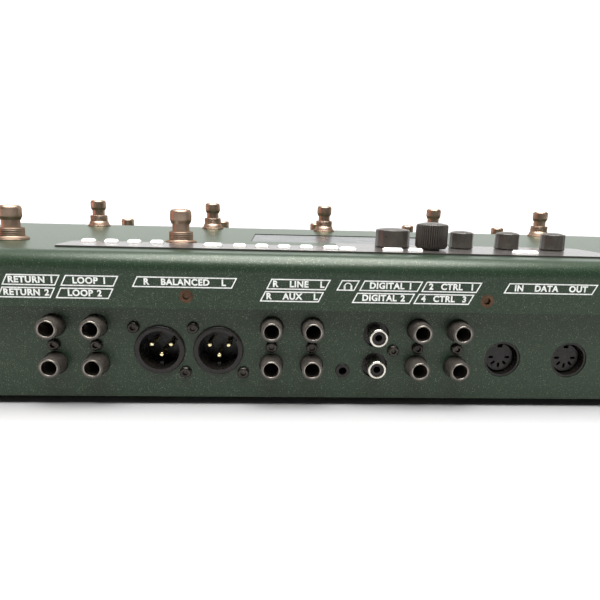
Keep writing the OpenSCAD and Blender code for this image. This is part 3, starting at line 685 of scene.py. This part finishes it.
def switch_nuts():
    nuts, bushings = [], []
    for name in NODES:
        if name.startswith("footswitch_") and name in JOINTS:
            axis, deck, washer = switch_stand(name)
            nuts.append(turned(nut_profile(washer), deck, axis, closed=True))
            bushings.append(turned(bushing_profile(washer), deck, axis, closed=True))
    obj = mesh_object("switch_nuts", *joined(nuts))
    sharpen(obj, 50)
    finish_piece(obj, LOOKS["bronze_metal"], "case", ["footswitch_nuts"])
    obj = mesh_object("switch_bushings", *joined(bushings))
    sharpen(obj, 50)
    finish_piece(obj, LOOKS["ferrule_metal"], "case")


def knob_profile(radius, top):
    """A smooth knob from its skirt at height 0: slight taper, rim, domed crown."""
    return [
        (radius - 1.4, 1.2), (radius - 1.2, 0), (radius - 0.3, 0),
        (radius, 0.35), (radius, 0.7), (radius - 0.12, 0.85), (radius - 0.28, top - 1.5),
        *arc(radius - 0.9, top - 1.45, 0.62, 0, 80, 6),
        (radius * 0.72, top - 0.45), (radius * 0.45, top - 0.14), (radius * 0.2, top - 0.02),
        (0.001, top),
    ]


def crown(node):
    """The top of a knob's or plunger's axis, and the axis."""
    low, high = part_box(node)
    axis = stem_axis(node)
    top = Vector(((low.x + high.x) / 2, (low.y + high.y) / 2, high.z))
    return top, axis


def smooth_knobs():
    """Smooth knobs with a moulded pointer line, each with its own steel shaft below."""
    for name in ("volume_knob", "soft_knob_1", "soft_knob_2", "soft_knob_3"):
        low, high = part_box(name)
        top, axis = crown(name)
        radius = (high.x - low.x) / 2 / MM
        height = 9.7 if name == "volume_knob" else 9.0
        base = top - axis * height * MM
        facet = lambda a, r, h: 0.07 * math.cos(16 * a) if r > radius - 1.0 else 0
        body = turned(knob_profile(radius, height), base, axis, 144, wobble=facet)
        shaft = turned([(0.001, -1), (3, -1), (3, 4), (0.001, 4)], base, axis)
        obj = mesh_object(f"{name}_moulding", *body)
        sharpen(obj, 40)
        finish_piece(obj, LOOKS["knob_plastic"], name, [name])
        obj = mesh_object(f"{name}_shaft", *shaft)
        sharpen(obj, 40)
        finish_piece(obj, LOOKS["connector_steel"], name)
        line = pointer(base, axis, radius, height)
        obj = mesh_object(f"{name}_pointer", *line, smooth=False)
        finish_piece(obj, INK, name)


def pointer(base, axis, radius, height):
    """A thin bar let into the crown near its edge, towards the player."""
    side, _ = basis(axis)
    ends = [(-0.35, -radius * 0.45), (0.35, -radius * 0.45),
            (0.35, -radius * 0.78), (-0.35, -radius * 0.78)]
    forward = axis.cross(side)
    verts = [base + side * x * MM + forward * y * MM + axis * z * MM
             for z in (height - 0.7, height - 0.1) for x, y in ends]
    faces = [(0, 1, 2, 3), (7, 6, 5, 4), (0, 4, 5, 1), (1, 5, 6, 2), (2, 6, 7, 3), (3, 7, 4, 0)]
    return verts, faces


def ribbed_knob():
    """The browse knob: straight ribs all round that end in a notched rim, domed crown."""
    low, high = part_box("browse_knob")
    top, axis = crown("browse_knob")
    radius = (high.x - low.x) / 2 / MM
    height = 12.9
    base = top - axis * height * MM
    ribs = 44
    profile = [
        (3.06, 8.0), (3.06, 1.8), (5.0, 1.8), (5.0, 0.0), (radius - 0.7, 0.0),
        (radius - 0.45, 0.2), (radius - 0.45, 0.7), (radius - 0.2, 0.85),
        (radius - 0.2, height - 2.0), *arc(radius - 1.2, height - 1.75, 0.95, 0, 70, 6),
        (radius * 0.72, height - 0.55), (radius * 0.45, height - 0.18), (0.001, height),
    ]

    def rib(a, r, h):
        if r < radius - 1.1 or h < 0.8:
            return 0
        depth = 0.32 if h < height - 1.8 else 0.32 * (height - 0.85 - h) / 0.95
        return max(0, depth) * (2 * abs(math.cos(ribs * a / 2)) - 1.2)

    obj = mesh_object("browse_knob_ribbed", *turned(profile, base, axis, ribs * 8, wobble=rib))
    sharpen(obj, 60)
    finish_piece(obj, LOOKS["knob_plastic"], "browse_knob", ["browse_knob"])


# ---------- sockets ----------

def jack_rims():
    """Turned rims of the jacks: a rounded lip over a plain throat."""
    rims = []
    for low, high in islands("jack_ferrules"):
        place = Vector(((low.x + high.x) / 2, high.y, (low.z + high.z) / 2))
        profile = [
            (3.25, -3.3), (3.25, -0.35), *arc(3.6, -0.35, 0.35, 180, 90, 4),
            *arc(3.62, -0.38, 0.38, 90, 0, 4), (4.0, -0.5), (4.0, -3.3),
        ]
        rims.append(turned(profile, place, OUT, 48, closed=True))
    obj = mesh_object("jack_rims", *joined(rims))
    sharpen(obj, 55)
    finish_piece(obj, LOOKS["ferrule_metal"], "case", ["jack_ferrules"])


# ---------- stage ----------

SUN_ENERGY = 9.5
SUN_SPREAD = 60
SUN_LEAN = -4


def floor():
    size = 30
    obj = mesh_object("floor", [(-size, -size, 0), (size, -size, 0), (size, size, 0),
                                (-size, size, 0)], [(0, 1, 2, 3)], smooth=False)
    look = Look("pale_floor")
    look.colour(look.mix(look.noise(3), (0.38, 0.38, 0.38), (0.40, 0.40, 0.40)))
    look.rough(0.8)
    look.fixed(Specular_IOR_Level=0.1)
    obj.data.materials.append(look.material)


def area_light(name, place, target, size, power, colour=(1, 1, 1)):
    data = bpy.data.lights.new(name, "AREA")
    data.shape = "RECTANGLE"
    data.size, data.size_y = size
    data.energy = power
    data.color = colour
    obj = bpy.data.objects.new(name, data)
    obj.location = place
    obj.rotation_euler = (Vector(target) - Vector(place)).to_track_quat("-Z", "Y").to_euler()
    bpy.context.scene.collection.objects.link(obj)


def lights():
    """White beyond the deck, a dimmer room behind the sockets, a soft sun, a warm side light."""
    world = bpy.data.worlds.new("studio")
    bpy.context.scene.world = world
    world.use_nodes = True
    nodes, links = world.node_tree.nodes, world.node_tree.links
    split = nodes.new("ShaderNodeSeparateXYZ")
    links.new(nodes.new("ShaderNodeTexCoord").outputs["Generated"], split.inputs["Vector"])
    height = nodes.new("ShaderNodeValToRGB")
    height.color_ramp.interpolation = "EASE"
    stops = ((0.38, 1.0), (0.50, 0.42), (0.76, 0.42), (0.90, 1.6))
    for index, (spot, value) in enumerate(stops):
        stop = height.color_ramp.elements[index] if index < 2 else (
            height.color_ramp.elements.new(spot))
        stop.position = spot
        stop.color = (value, value, value, 1)
    links.new(split.outputs["Z"], height.inputs["Fac"])
    room = nodes.new("ShaderNodeMapRange")
    room.interpolation_type = "SMOOTHSTEP"
    for key, value in (("From Min", -0.72), ("From Max", 0.1), ("To Min", 1.1), ("To Max", 0.16)):
        room.inputs[key].default_value = value
    links.new(split.outputs["Y"], room.inputs["Value"])
    links.new(height.outputs["Color"], nodes["Background"].inputs["Color"])
    links.new(room.outputs["Result"], nodes["Background"].inputs["Strength"])
    sun = bpy.data.lights.new("overhead", "SUN")
    sun.energy = SUN_ENERGY
    sun.angle = math.radians(SUN_SPREAD)
    obj = bpy.data.objects.new("overhead", sun)
    obj.rotation_euler = (math.radians(SUN_LEAN), 0, 0)
    bpy.context.scene.collection.objects.link(obj)
    area_light("warm_side", (0.9, 0.12, 0.22), (0, 0, 0.07), (0.08, 0.4), 0.9, (1, 0.26, 0.20))


def camera():
    """Eye level just above the deck, close behind the socket panel."""
    data = bpy.data.cameras.new("camera")
    data.sensor_width = 36
    data.lens = 30
    data.clip_start = 0.01
    obj = bpy.data.objects.new("camera", data)
    right = Vector((-0.9985, 0.0477, 0.0269))
    up = Vector((0.0166, -0.2053, 0.9786))
    back = right.cross(up).normalized()
    up = back.cross(right).normalized()
    right = right.normalized()
    turn = Matrix((right, up, back)).transposed()
    place = Vector((36.5 * MM, panel_face() + 219 * MM, 96.3 * MM))
    obj.matrix_world = Matrix.Translation(place) @ turn.to_4x4()
    bpy.context.scene.collection.objects.link(obj)
    bpy.context.scene.camera = obj


def main():
    dress_frame()
    labels()
    plungers()
    switch_nuts()
    smooth_knobs()
    ribbed_knob()
    jack_rims()
    floor()
    lights()
    camera()
    bpy.context.scene.view_settings.view_transform = "Standard"


main()
